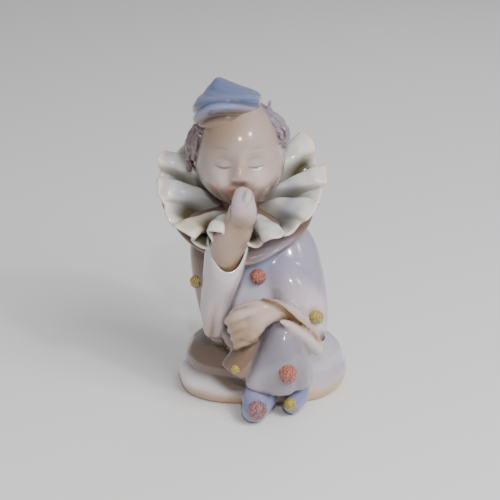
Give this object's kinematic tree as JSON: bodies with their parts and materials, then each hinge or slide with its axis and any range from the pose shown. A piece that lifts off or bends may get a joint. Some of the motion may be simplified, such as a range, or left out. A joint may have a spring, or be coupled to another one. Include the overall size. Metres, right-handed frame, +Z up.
{
  "type": "clown figurine",
  "caption": "Glazed porcelain figurine of a child clown sitting on a rock with a finger to the lips, in a deep ruffled collar, a soft pointed hat and pompoms.",
  "frame": {"origin": "on the flat underside of the rock, a few millimetres in front of its middle", "axes": "+Z up, the figure faces -Y, +X to the viewer's right"},
  "size_m": [0.0957, 0.0834, 0.1625],
  "materials": {
    "glazed_porcelain": null
  },
  "bodies": {
    "root": {"clown_figurine": "glazed_porcelain"}
  },
  "joints": []
}
